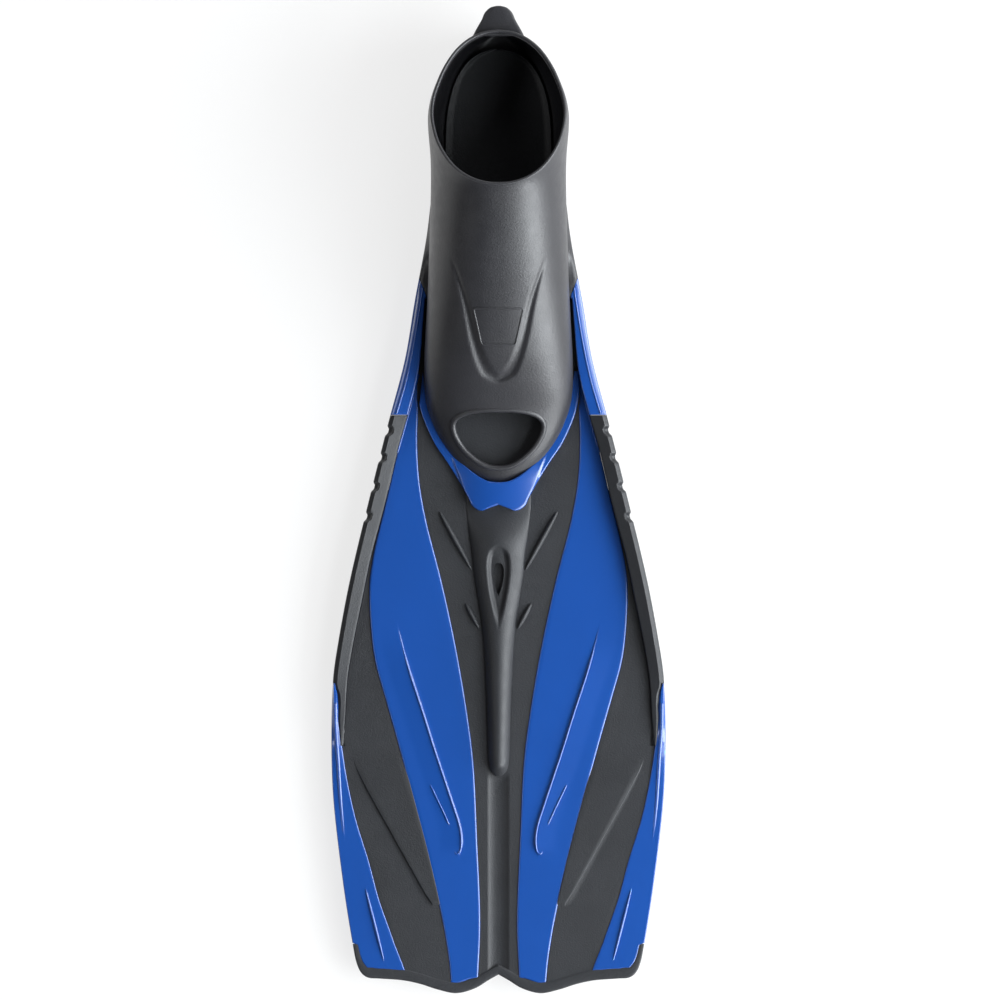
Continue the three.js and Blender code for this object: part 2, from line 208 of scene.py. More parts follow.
def strip(name, inner, outer, top_y, end_y, top, bottom, radius=0.7, count=12, step=2.0, pins=(),
          warp=None, round_top=True, round_end=True):
    """A closed strip between two boundaries, with a shaped top and bottom and rounded edges."""
    rows = max(4, round((top_y - end_y) / step))
    ys = [top_y - (top_y - end_y) * i / rows for i in range(rows + 1)]
    lead = [0.06 * radius, 0.25 * radius, 0.55 * radius, radius]
    ys = [top_y] + [top_y - d for d in lead] + ys[1:-1] + [end_y + d for d in reversed(lead)] + [end_y]
    ys.sort(reverse=True)
    grid = []
    for y in ys:
        fixed = [pin(y) for pin in pins]
        grid.append([(x, y) for x in columns(inner(y), outer(y), radius, count, fixed)])
    across = len(grid[0])

    def drop(x, y):
        edges = [x - inner(y), outer(y) - x]
        if round_top:
            edges.append(top_y - y)
        if round_end:
            edges.append(y - end_y)
        near = min(max(min(edges), 0.0), radius) / radius
        return radius * (1 - math.sqrt(max(0.0, 1 - (1 - near) ** 2)))

    upper = []
    lower = []
    for row in grid:
        for x, y in row:
            place = warp(x, y) if warp else y
            rim = min(drop(x, y), 0.45 * abs(top(x, y) - bottom(x, y)))
            upper.append((x, place, top(x, y) - rim))
            lower.append((x, place, bottom(x, y) + rim))
    points = upper + lower
    base = len(upper)
    faces = []
    for i in range(len(ys) - 1):
        for j in range(across - 1):
            a = i * across + j
            b = a + across
            faces.append((a, a + 1, b + 1, b))
            faces.append((base + a, base + b, base + b + 1, base + a + 1))
    for i in range(len(ys) - 1):
        for a, b in ((i * across, (i + 1) * across), ((i + 1) * across - 1, (i + 2) * across - 1)):
            faces.append((a, b, base + b, base + a))
    for j in range(across - 1):
        for a in (j, (len(ys) - 1) * across + j):
            faces.append((a, a + 1, base + a + 1, base + a))
    return mesh_object(name, points, faces)


def tube(name, path, radius, closed=True):
    """A round bead along a path."""
    curve = bpy.data.curves.new(name, "CURVE")
    curve.dimensions = "3D"
    curve.bevel_depth = radius * MM
    curve.bevel_resolution = 4
    spline = curve.splines.new("POLY")
    spline.points.add(len(path) - 1)
    for target, point in zip(spline.points, path):
        target.co = (*(Vector(point) * MM), 1)
    spline.use_cyclic_u = closed
    holder = bpy.data.objects.new(name, curve)
    bpy.context.scene.collection.objects.link(holder)
    return finished(holder)


def finished(thing):
    """The object with its modifiers or curve turned into a plain mesh."""
    bpy.context.view_layer.update()
    seen = thing.evaluated_get(bpy.context.evaluated_depsgraph_get())
    mesh = bpy.data.meshes.new_from_object(seen)
    name = thing.name
    bpy.data.objects.remove(thing)
    made = bpy.data.objects.new(name, mesh)
    bpy.context.scene.collection.objects.link(made)
    for face in mesh.polygons:
        face.use_smooth = True
    return made


def cut(thing, cutter, operation="DIFFERENCE"):
    modifier = thing.modifiers.new("cut", "BOOLEAN")
    modifier.operation = operation
    modifier.solver = "MANIFOLD"
    modifier.object = cutter
    made = finished(thing)
    bpy.data.objects.remove(cutter)
    return made


def joined(name, things):
    """One object holding all the things' meshes."""
    work = bmesh.new()
    for thing in things:
        work.from_mesh(thing.data)
        bpy.data.objects.remove(thing)
    mesh = bpy.data.meshes.new(name)
    work.to_mesh(mesh)
    work.free()
    made = bpy.data.objects.new(name, mesh)
    bpy.context.scene.collection.objects.link(made)
    return made


def mirrored(thing, name):
    """The same thing on the other side of the centreline."""
    work = bmesh.new()
    work.from_mesh(thing.data)
    for vert in work.verts:
        vert.co.x = -vert.co.x
    bmesh.ops.reverse_faces(work, faces=work.faces)
    mesh = bpy.data.meshes.new(name)
    work.to_mesh(mesh)
    work.free()
    made = bpy.data.objects.new(name, mesh)
    bpy.context.scene.collection.objects.link(made)
    return made


def sharpened(thing, degrees=38):
    """Keeps creases steeper than an angle crisp."""
    thing.data.set_sharp_from_angle(angle=math.radians(degrees))
    return thing


# Materials ---------------------------------------------------------------------------------------

def moulded(name, colour, roughness, grain, grain_bump, mottle, edge_highlight_and_wear, coat=0.0, edge=(0.51, 0.6), pale=None,
             shine=0.5):
    """Moulded rubber or plastic: soft mottling, fine grain, and convex edges painted paler, which is painted
    edge highlight and partly wear.
    """
    material = bpy.data.materials.new(name)
    material.use_nodes = True
    nodes = material.node_tree.nodes
    links = material.node_tree.links
    shader = nodes["Principled BSDF"]
    shader.inputs["Coat Weight"].default_value = coat
    shader.inputs["Specular IOR Level"].default_value = shine
    shader.inputs["Coat Roughness"].default_value = 0.07
    place = nodes.new("ShaderNodeTexCoord")

    def noise(scale, detail):
        texture = nodes.new("ShaderNodeTexNoise")
        texture.inputs["Scale"].default_value = scale
        texture.inputs["Detail"].default_value = detail
        links.new(place.outputs["Object"], texture.inputs["Vector"])
        return texture

    def ramp(source, low, high, first, second):
        stops = nodes.new("ShaderNodeValToRGB")
        stops.color_ramp.elements[0].position = low
        stops.color_ramp.elements[1].position = high
        stops.color_ramp.elements[0].color = first
        stops.color_ramp.elements[1].color = second
        links.new(source, stops.inputs["Fac"])
        return stops

    spread = 0.3 * mottle
    dark = (*[c * (1 - mottle) for c in colour], 1)
    light = (*[c * (1 + mottle) for c in colour], 1)
    cloudy = ramp(noise(22, 5).outputs["Fac"], 0.32, 0.68, dark, light)
    # Convex edges, found by pointiness, are painted paler: painted edge highlight, partly wear.
    edges = nodes.new("ShaderNodeNewGeometry")
    highlight_and_wear_mask = ramp(edges.outputs["Pointiness"], *edge, (0, 0, 0, 1), (edge_highlight_and_wear, edge_highlight_and_wear, edge_highlight_and_wear, 1))
    mix = nodes.new("ShaderNodeMix")
    mix.data_type = "RGBA"
    links.new(highlight_and_wear_mask.outputs["Color"], mix.inputs["Factor"])
    links.new(cloudy.outputs["Color"], mix.inputs["A"])
    mix.inputs["B"].default_value = (*(pale or [min(1.0, 0.06 + c * 1.9) for c in colour]), 1)
    links.new(mix.outputs["Result"], shader.inputs["Base Color"])
    sleek = (roughness - spread,) * 3 + (1,)
    dull = (roughness + spread,) * 3 + (1,)
    rough = ramp(noise(160, 6).outputs["Fac"], 0.3, 0.7, sleek, dull)
    links.new(rough.outputs["Color"], shader.inputs["Roughness"])
    bump = nodes.new("ShaderNodeBump")
    bump.inputs["Strength"].default_value = grain_bump
    bump.inputs["Distance"].default_value = 0.0004
    links.new(noise(grain, 3).outputs["Fac"], bump.inputs["Height"])
    links.new(bump.outputs["Normal"], shader.inputs["Normal"])
    return material


BLACK = (0.016, 0.016, 0.019)
# The number after the mottle sets how much paler convex edges are painted: painted edge highlight, partly
# wear.
pocket_rubber = moulded("pocket_rubber", BLACK, 0.42, 900, 0.3, 0.12, 0.2)
channel_rubber = moulded("channel_rubber", (0.018, 0.019, 0.022), 0.5, 1100, 0.4, 0.14, 0.25, shine=0.34)
grip_rubber = moulded("grip_rubber", (0.015, 0.016, 0.019), 0.48, 1000, 0.35, 0.12, 0.3, shine=0.32)
# The blue's edges and beads are painted a pale blue: painted highlight lines.
blue_plastic = moulded("blue_plastic", (0.0078, 0.053, 0.248), 0.24, 500, 0.02, 0.03, 0.6, coat=0.6,
                       edge=(0.57, 0.7), pale=(0.1, 0.45, 0.85))


def dress(thing, material, slot, *nodes, body=None):
    """Gives a piece its material and its place on the bodies."""
    thing.data.materials.clear()
    thing.data.materials.append(material)
    if body:
        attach(thing, body)
    else:
        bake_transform(thing)
    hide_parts(*nodes)
    return thing


def pair(right, name, material, slot, *nodes, body=None):
    """A right-hand piece and its mirror image."""
    right.name = f"{name}_right"
    left = mirrored(right, f"{name}_left")
    for thing, side in ((right, "right"), (left, "left")):
        sharpened(thing)
        dress(thing, material, slot, *[f"{node}_{side}" for node in nodes], body=body)


# Foot pocket -------------------------------------------------------------------------------------

def rim_height(y):
    share = (y - RIM_FRONT[0]) / (RIM_BACK[0] - RIM_FRONT[0])
    return RIM_FRONT[1] + (RIM_BACK[1] - RIM_FRONT[1]) * share


def widest_height(y):
    return POCKET_BOTTOM_Z + 0.3 * (pocket_top(y) - POCKET_BOTTOM_Z)


def pocket_surface_height(x, y):
    """Height of the pocket's outer top surface over a point in plan."""
    widest = widest_height(y)
    share = min(abs(x) / pocket_half(y), 1.0)
    return widest + (pocket_top(y) - widest) * (1 - share ** (2 / 0.85)) ** (0.85 / 2)


chevron_outer = along((146, 29.5), (143, 28.6), (118, 22), (90, 16), (74, 9.7), (70.5, 3.5), (69.5, 0))
chevron_inner = along((146, 29), (130, 23), (118, 18.5), (96, 13), (84, 8.7), (76, 4), (74, 0))


def chevron_depth(x, y):
    """The band pressed into the instep, deepest along its inner line."""
    if y > 146 or y < 69:
        return 0.0
    side = abs(x)
    outer = chevron_outer(y)
    inner = chevron_inner(y) if y > 74 else 0.0
    if side > outer + 0.5 or side < inner - 1.0:
        return 0.0
    fade = smooth(146, 132, y)
    return 1.5 * fade * smooth(outer + 0.5, outer - 2.0, side) * smooth(inner - 1.0, inner + 0.6, side)


def badge():
    """A plain badge panel on the instep: a fine bead along its round-cornered outline."""
    corners = [(-14.7, 112.7), (14.7, 112.7), (10, 91.5), (-10, 91.5)]
    path = []
    for i, corner in enumerate(corners):
        here = Vector(corner)
        before = (Vector(corners[i - 1]) - here).normalized()
        after = (Vector(corners[(i + 1) % 4]) - here).normalized()
        for k in range(9):
            t = k / 8
            bend = here.lerp(here + before * 3, (1 - t) ** 2).lerp(here.lerp(here + after * 3, t ** 2), 0.5)
            path.append(tuple(bend))
    dense = []
    for (x0, y0), (x1, y1) in zip(path, path[1:] + path[:1]):
        count = max(1, round(math.hypot(x1 - x0, y1 - y0)))
        dense += [(x0 + (x1 - x0) * i / count, y0 + (y1 - y0) * i / count) for i in range(count)]
    return tube("badge", [(x, y, pocket_surface_height(x, y) - 0.1) for x, y in dense], 0.6)


def foot_form(name, inset, detail):
    """The closed form of the shoe: a boxy sole and a round top, with its poles at heel and toe."""
    rings = 330 if detail else 90
    segments = 220 if detail else 90
    middle = (HEEL_END_Y + TOE_END_Y) / 2
    half_length = (HEEL_END_Y - TOE_END_Y) / 2 - inset
    rows = []
    for i in range(1, rows_end := rings):
        y = middle + half_length * math.cos(math.pi * i / rows_end)
        skin_y = middle + (half_length + inset) * math.cos(math.pi * i / rows_end)
        bottom = POCKET_BOTTOM_Z + inset
        top = pocket_top(skin_y) - inset
        widest = bottom + 0.3 * (top - bottom)
        half = pocket_half(skin_y) - inset * min(pocket_half(skin_y) / 12, 1.0)
        row = []
        for j in range(segments):
            angle = 2 * math.pi * j / segments
            upper = math.sin(angle) >= 0
            power = 0.85 if upper else 0.5
            across = math.copysign(abs(math.cos(angle)) ** power, math.cos(angle))
            upward = math.copysign(abs(math.sin(angle)) ** power, math.sin(angle))
            x = half * across
            z = widest + (top - widest if upper else widest - bottom) * upward
            if detail and upper:
                z -= chevron_depth(x, y)
            row.append((x, y, z))
        rows.append(row)
    return loft(name, rows)


def rim_path():
    """The edge of the ankle opening, in the middle of the wall."""
    edge = []
    steps = 120
    for i in range(steps + 1):
        y = RIM_FRONT[0] + (HEEL_END_Y - RIM_FRONT[0]) * (1 - math.cos(math.pi * i / steps)) / 2
        widest = widest_height(y)
        share = min((rim_height(y) - widest) / (pocket_top(y) - widest), 1.0)
        half = pocket_half(y) * (1 - share ** (2 / 0.85)) ** (0.85 / 2)
        edge.append(Vector((half if i < steps else 0.0, y)))
    right = []
    for i in range(1, steps):
        run = (edge[i + 1] - edge[i - 1]).normalized()
        x, y = edge[i] + Vector((-run.y, run.x)) * WALL / 2
        if x > 0.2:
            right.append((x, y, rim_height(y)))
    left = [(-x, y, z) for x, y, z in reversed(right)]
    return right + left


def bezier(points, steps):
    made = []
    for i in range(steps):
        t = i / steps
        work = [Vector(p) for p in points]
        while len(work) > 1:
            work = [a.lerp(b, t) for a, b in zip(work, work[1:])]
        made.append(tuple(work[0]))
    return made


TOE_OPENING = [(0, 52.4), (9, 52.2), (17, 51), (22, 49.2), (25.2, 46.4), (25.9, 42.8), (24.4, 37.6),
               (20.6, 31.4),
               (16, 26.6), (10.6, 22.6), (5.4, 20.3), (0, 19.6)]


def toe_outline(grow=0.0):
    """The drain opening in plan: a half-moon with round corners."""
    right = through(TOE_OPENING, 5)
    grown = []
    for i, point in enumerate(right):
        before = Vector(right[i - 1]) if i else Vector((-right[1][0], right[1][1]))
        after = Vector(right[i + 1]) if i + 1 < len(right) else Vector((-right[-2][0], right[-2][1]))
        run = (after - before).normalized()
        grown.append(tuple(Vector(point) + Vector((-run.y, run.x)) * grow))
    left = [(-x, y) for x, y in reversed(grown[1:-1])]
    return grown + left


def prism(name, outline, low, high):
    return loft(name, [[(x, y, low) for x, y in outline], [(x, y, high) for x, y in outline]])


def above_rim():
    """A block over the plane of the ankle opening."""
    slope = (RIM_BACK[1] - RIM_FRONT[1]) / (RIM_BACK[0] - RIM_FRONT[0])
    corners = [(y, RIM_FRONT[1] + slope * (y - RIM_FRONT[0])) for y in (120, 320)]
    section = [*corners, (320, 200), (120, 200)]
    return loft("above_rim", [[(x, y, z) for y, z in section] for x in (-80, 80)])


def fairing():
    """The rubber that runs from the shoe's side into the rail."""
    def inner(y):
        return pocket_half(y) - 2.2

    def top(x, y):
        lift = smooth(0, 1, (silhouette(y) - x) / (silhouette(y) - inner(y)))
        return BLADE_Z + 3.5 + 7 * smooth(176, 136, y) + 9 * lift * smooth(131, 165, y)

    def bottom(x, y):
        return BLADE_Z - 3.5 - 7 * smooth(176, 136, y)

    def slanted(x, y):
        inward = min(max((silhouette(y) - x) / (silhouette(y) - rail_inner(y)), 0.0), 1.0)
        return y - 11 * inward * smooth(140, RAIL_TOP_Y - 1, y)

    return strip("fairing", inner, silhouette, 178, RAIL_TOP_Y - 1, top, bottom,
                 radius=2.0, count=10, warp=slanted)


def side_web():
    """The thin rubber between the shoe's side and the rail."""
    return strip("side_web", lambda y: pocket_half(y) - 3, lambda y: rail_inner(y) + 0.8, 136, 48,
                 lambda x, y: 12.4, lambda x, y: 9.6, radius=0.4, count=6)


def foot_pocket():
    shell = foot_form("foot_pocket", 0, True)
    shell = cut(shell, foot_form("hollow", WALL, False))
    shell = cut(shell, above_rim())
    shell = cut(shell, prism("toe_cut", toe_outline(), 13, 80))
    sharpened(shell, 50)
    rim = tube("rim", rim_path(), WALL / 2 + 0.05)
    lip = [(x, y, pocket_surface_height(x, y) - 0.9) for x, y in toe_outline(0.9)]
    lip = tube("lip", lip, 1.7)
    right = joined("fairing", [fairing(), side_web()])
    left = mirrored(right, "fairing_left")
    pocket = joined("foot_pocket_shell", [shell, rim, lip, badge(), right, left])
    dress(pocket, pocket_rubber, "pocket_rubber", "foot_pocket", body="foot")


def footbed():
    """The sole plate in the shoe, with a raised edge that shows as a line."""
    half = along((266, 3), (264.6, 9), (260, 16.5), (252, 23), (240, 28), (222, 31), (190, 31.5), (118, 33),
                 (77, 36), (60, 37), (47, 35), (35, 29.4), (24, 21.6), (18, 14.6), (15, 8))

    def top(x, y):
        return 13.2 + 1.8 * smooth(half(y) - 2.4, half(y) - 1.4, abs(x)) * smooth(60, 90, y)

    plate = strip("footbed_plate", lambda y: -half(y), half, 266, 15, top, lambda x, y: 9.8,
                  radius=0.6, count=26)
    dress(plate, channel_rubber, "channel_rubber", "footbed", body="foot")


# Chassis and rails -------------------------------------------------------------------------------

YOKE_OUTER = [(47.2, 76), (47.8, 66), (46.6, 56), (43.6, 46), (37.8, 33.5), (31.5, 24),
              (27.2, 17.5), (21.6, 8),
              (18, 1.5), (15.6, -3.4), (10.4, -6.4), (5, -4.6), (0, -2.8)]
YOKE_INNER = [(44.6, 76), (42.8, 66), (40.6, 57), (37, 48.5), (31.6, 36.6), (25.4, 26), (17, 18), (11.6, 14),
              (8.4, 12.2), (5.6, 11.2), (3, 10.8), (0, 10.7)]


def through(points, steps):
    """A smooth line through points in plan."""
    made = []
    for i in range(len(points) - 1):
        p0 = Vector(points[max(i - 1, 0)])
        p1 = Vector(points[i])
        p2 = Vector(points[i + 1])
        p3 = Vector(points[min(i + 2, len(points) - 1)])
        for k in range(steps):
            t = k / steps
            bend = (2 * p1 + (p2 - p0) * t + (2 * p0 - 5 * p1 + 4 * p2 - p3) * t * t
                    + (3 * p1 - p0 - 3 * p2 + p3) * t ** 3)
            made.append(tuple(bend / 2))
    made.append(tuple(points[-1]))
    return made


def both_sides(points):
    return points + [(-x, y) for x, y in reversed(points[:-1])]


def yoke():
    """The blue collar around the toe: a crowned band between two lines in plan."""
    outer = both_sides(through(YOKE_OUTER, 8))
    inner = both_sides(through(YOKE_INNER, 8))
    across = [0.0, 0.02, 0.06] + [0.1 + 0.8 * i / 22 for i in range(23)] + [0.94, 0.98, 1.0]
    rings = []
    for (ox, oy), (ix, iy) in zip(outer, inner):
        width = math.hypot(ox - ix, oy - iy)
        upper = []
        lower = []
        for share in across:
            x = ox + (ix - ox) * share
            y = oy + (iy - oy) * share
            edge = min(share, 1 - share) * width
            rounding = 1.0 * (1 - math.sqrt(max(0.0, 1 - (1 - min(edge, 1.0)) ** 2)))
            crease = 19.4 + 0.36 * (y - 2.9)
            plate = 0.9 * smooth(crease + 0.7, crease - 0.7, abs(x)) * smooth(28, 20, y)
            climb = plate + 3.6 * max(0.0, 1 - (x / 24) ** 2) * smooth(32, 12, y)
            upper.append((x, y, 15.4 + climb - rounding))
            lower.append((x, y, 6.4 + rounding))
        rings.append(upper + lower[::-1])
    return loft("yoke", rings)


def sole_plate():
    def half(y):
        return max(pocket_half(y) - 9, 1.0)

    return strip("sole_plate", lambda y: -half(y), half, 268, 13, lambda x, y: 6.0, lambda x, y: 4.0,
                 radius=0.5, count=8, step=4)


def chassis():
    made = joined("toe_yoke", [yoke(), sole_plate()])
    sharpened(made, 45)
    dress(made, blue_plastic, "blue_plastic", "chassis", body="foot")


def blue_rail():
    """The blue rail beside the shoe, with a ridge along its top."""
    ridge = along((131, 43.8), (115, 46), (90, 50.2), (70, 54.6), (50, 60.4))

    def top(x, y):
        if x < ridge(y):
            return 22 - 0.05 * (ridge(y) - x)
        fall = x - ridge(y)
        return 22 - 0.12 * fall - 0.055 * fall * fall

    def slanted(x, y):
        inward = (silhouette(y) - x) / (silhouette(y) - rail_inner(y))
        return y - 11 * inward * smooth(118, 131, y)

    rail = strip("side_rail", rail_inner, silhouette, RAIL_TOP_Y, GRIP_TOP_Y + 0.2, top, lambda x, y: 0.3,
                 radius=0.7, count=18, pins=[ridge], warp=slanted, round_top=False)
    crest = tube("crest", [(ridge(y), y, 21.75) for y in range(51, 127, 2)], 0.6, closed=False)
    right = joined("side_rail", [rail, crest])
    pair(right, "side_rail", blue_plastic, "blue_plastic", "rail_root", body="foot")


def notch(y):
    """How deep the finger notches bite, 0 to 1."""
    return max(math.exp(-((y - at) / 2.2) ** 4) for at in NOTCHES)


def side_grip():
    """The rubber sleeve on the rail: dark slanted side, top sloping in, notched edge."""
    def plain_edge(y):
        tail = smooth(-106, -116, y)
        return silhouette(y) * (1 - tail) + (side_inner(y) + 1.0) * tail

    def outer(y):
        return max(plain_edge(y) - 1.3 * notch(y), rail_inner(y) + 0.5)

    def shoulder(y):
        width = plain_edge(y) - rail_inner(y)
        return plain_edge(y) - min(2.7, 0.4 * width)

    def bite(y):
        return shoulder(y) - 1.7 * notch(y)

    def top(x, y):
        crown = BLADE_Z + rail_half_height(y)
        fall = 0.24 * rail_half_height(y) * min((shoulder(y) - rail_inner(y)) / 6, 1.0)
        inward = crown - fall * (shoulder(y) - x) / max(shoulder(y) - rail_inner(y), 0.1)
        start = crown - fall * (shoulder(y) - bite(y)) / max(shoulder(y) - rail_inner(y), 0.1)
        past = x - bite(y)
        return min(inward, start - 0.72 * max(past, 0.0) - 2.0 * notch(y) * smooth(0.0, 1.2, past))

    grip = strip("side_grip", rail_inner, outer, GRIP_TOP_Y, GRIP_TAIL_Y, top,
                 lambda x, y: BLADE_Z - rail_half_height(y) + 0.02, radius=0.7, count=16, step=0.8,
                 pins=[lambda y: shoulder(y) - 2.3, shoulder])
    pair(grip, "side_grip", grip_rubber, "grip_rubber", "grip_root", "rail_grip")


# Blade -------------------------------------------------------------------------------------------

HEM_OUTER = [(0, -280), (6, -283.4), (14, -288.2), (24.8, -291), (36, -288.8), (46, -285.6), (56.6, -283.4),
             (70, -282.4), (77, -281.8), (81.4, -278.4), (84.2, -271.5), (86.0, -262)]
HEM_INNER = [(0, -275), (6, -278), (14, -282.4), (24.8, -285.2), (36, -283.2), (46, -280), (56.6, -277.6),
             (70, -276.8), (75.5, -276.2), (78.6, -274), (81, -269.5), (83.0, -262)]


def hem_line(x):
    """Where the panels and channels stop, above the rubber edge."""
    for (x0, y0), (x1, y1) in zip(HEM_INNER, HEM_INNER[1:9]):
        if x0 <= abs(x) <= x1:
            return y0 + (y1 - y0) * smooth(x0, x1, abs(x)) + 0.25
    return HEM_INNER[8][1] + 0.25


def to_hem(x, y):
    """Bends the last stretch of a strip to meet the tip's edge."""
    if y > -262:
        return y
    return y + (hem_line(x) - TIP_END_Y) * (-262 - y) / (-262 - TIP_END_Y)


def under_hem(x, y):
    """As to_hem, but running a little way into the rubber edge."""
    return to_hem(x, y) - 1.5 * smooth(-262, TIP_END_Y, y)


def panel_top(y):
    return BLADE_Z + 2.1 * blade_taper(y)


def channel_top(y):
    return BLADE_Z + 1.3 * blade_taper(y)


leaf_line = along(
    (72, 48), (60, 49.6), (30, 55), (0, 58), (-40, 64), (-73, 60), (-90, 56), (-125, 44.8),
    (-148, 37.6), (-166, 31.6),
    (-184, 25.6), (-191, 23.4), (-197, 22.2), (-203, 22), (-209, 23.4), (-240, 23), (-284, 20))


def leaf_height(x, y):
    """The raised leaf on the blue panel: a step up at its long inner edge, fading outwards."""
    start = leaf_line(y) - 1.0
    if x < start:
        return 0.0
    height = 0.8 * smooth(-70, -100, y) * smooth(-211, -203, y)
    fade = min(max(1 - (x - leaf_line(y)) / 12, 0.0), 1.0)
    return height * smooth(start, leaf_line(y), x) * fade


def bead(name, points, radius, steps=6):
    """A fine raised line on the blue panel, tapering into it at both ends."""
    path = through(points, steps)
    last = len(path) - 1
    spots = []
    for i, (x, y) in enumerate(path):
        sunk = radius * (1 - smooth(0, 0.12, i / last) * smooth(1, 0.88, i / last))
        spots.append((x, y, panel_top(y) + leaf_height(x, y) - sunk))
    return tube(name, spots, radius, closed=False)


def inner_panel():
    def inner(y):
        return panel_inner(y) + 0.15 + 0.6 * smooth(53, 60, y)

    def outer(y):
        return max(min(panel_outer(y) if y < 50 else 99, rail_inner(y)) - 0.1, inner(y) + 0.4)

    panel = strip("blade_panel", inner, outer, 72, TIP_END_Y, lambda x, y: panel_top(y) + leaf_height(x, y),
                  lambda x, y: 2 * BLADE_Z - panel_top(y),
                  radius=0.9, count=36, step=1.4, pins=[lambda y: leaf_line(y) - 1.0, leaf_line], warp=to_hem)
    long_rows = (-74, -100, -125, -148, -166, -184, -191, -197, -203)
    long_bead = bead("long_bead", [(leaf_line(y), y) for y in long_rows]
                     + [(22.8, -207.4), (24.6, -208.8), (26, -207)], 0.62)
    short_bead = bead("short_bead", [(40.2, -168), (36.6, -175.6), (32.8, -183.6), (29.1, -191.7)], 0.55)
    border = bead("border", [(rail_inner(y) - 0.3, y) for y in (74, 64, 52, 40, 28)], 0.55)
    panel = joined("blade_panel", [panel, long_bead, short_bead, border])
    pair(panel, "blade_panel", blue_plastic, "blue_plastic", "panel_root", "inner_panel")


def ridge_span(y):
    """Both sides of the raised ridge's flat top on the edge panel."""
    edge = silhouette_at_tip(y)
    width = edge - side_inner(y)
    share = smooth(-108, -150, y)
    return edge - min(2.0 + 3.4 * share, 0.7 * width), edge - min(1.2 + 1.6 * share, 0.3 * width)


def outer_panel():
    def top(x, y):
        rail = (rail_half_height(y) - 1.9) * smooth(-208, -125, y)
        low, high = ridge_span(y)
        if x > high:
            raised = rail * (1 - 0.8 * (x - high) / (silhouette(y) - high))
        else:
            raised = rail * (1 - min(max(low - x, 0.0) / 3.2, 1.0))
        return panel_top(y) + max(raised, 0.0)

    panel = strip("edge_panel", lambda y: side_inner(y) + 0.15, silhouette_at_tip, -108, TIP_END_Y, top,
                  lambda x, y: BLADE_Z - max(2.1 * blade_taper(y),
                                             rail_half_height(y) * smooth(-175, -115, y)),
                  radius=0.6, count=30, step=1.2,
                  pins=[lambda y: ridge_span(y)[0], lambda y: ridge_span(y)[1]],
                  warp=to_hem, round_top=False)
    beads = [rib("rib", (78.5, -229), (67.6, -272), 0.9, 1.0, panel_top)]
    points = []
    for y in range(-120, -211, -6):
        x = sum(ridge_span(y)) / 2
        points.append((x, y, top(x, y) - 0.8 - 0.6 * smooth(-160, -210, y)))
    beads.append(tube("crest", points, 1.4, closed=False))
    panel = joined("edge_panel", [panel, *beads])
    pair(panel, "edge_panel", blue_plastic, "blue_plastic", "outer_panel")


corner_line = along((-262, 83.3), (-269.5, 81.4), (-273, 79.8), (-276, 77.4))


def silhouette_at_tip(y):
    """The blade's edge, stepping in behind the corner bumper."""
    place = to_hem(80, y)
    return silhouette(y) + (corner_line(place) - silhouette(y)) * smooth(-261.4, -262.2, y)


land_line = along((-38, 78), (-110, 87), (-150, 86), (-163, 81.6), (-200, 61.4), (-232, 43.6),
                  (-240, 39), (-284, 40))


def outer_channel():
    def outer(y):
        tail = smooth(-136, -146, y)
        edge = rail_inner(y) * (1 - tail) + side_inner(y) * tail
        return max(edge + 0.9 * tail, panel_outer(y) + 0.7)

    def pin(y):
        return min(max(land_line(y), panel_outer(y) + 1.2), outer(y) - 1.2)

    def top(x, y):
        beside = smooth(pin(y) + 0.35, pin(y) - 0.35, x)
        raised = 1.0 * smooth(-150, -172, y) * smooth(-239, -237.4, y) * beside
        return channel_top(y) + raised

    channel = strip("outer_channel", lambda y: panel_outer(y) - 0.8, outer, 6, TIP_END_Y, top,
                    lambda x, y: 2 * BLADE_Z - channel_top(y), radius=0.35, count=24, step=1.4,
                    pins=[lambda y: pin(y) - 0.35, lambda y: pin(y) + 0.35], warp=under_hem)
    pair(channel, "flex_channel", channel_rubber, "channel_rubber", "outer_channel")


def rib(name, start, end, half_width, height, base):
    """A pointed ridge standing on the rubber."""
    start = Vector(start)
    end = Vector(end)
    side = Vector((-(end - start).y, (end - start).x)).normalized()
    rings = []
    for i in range(25):
        share = i / 24
        swell = max(math.sin(math.pi * share), 0.0) ** 0.4 + 0.02
        middle = start.lerp(end, share)
        ring = []
        for k in range(16):
            angle = 2 * math.pi * k / 16
            x, y = middle + side * (half_width * swell * math.cos(angle))
            ring.append((x, y, base(y) + height * swell * math.sin(angle)))
        rings.append(ring)
    return loft(name, rings)


def vent_cutter():
    """The deep slot in the keel: round above, pointed below."""
    right = bezier([(0, -37.1), (3.3, -37.1), (3.3, -42)], 10)
    right = right + bezier([(3.3, -42), (3.3, -50), (0, -56.6)], 14)
    right.append((0, -56.6))
    return prism("vent", right + [(-x, y) for x, y in reversed(right[1:-1])], BLADE_Z + 0.9, 40)


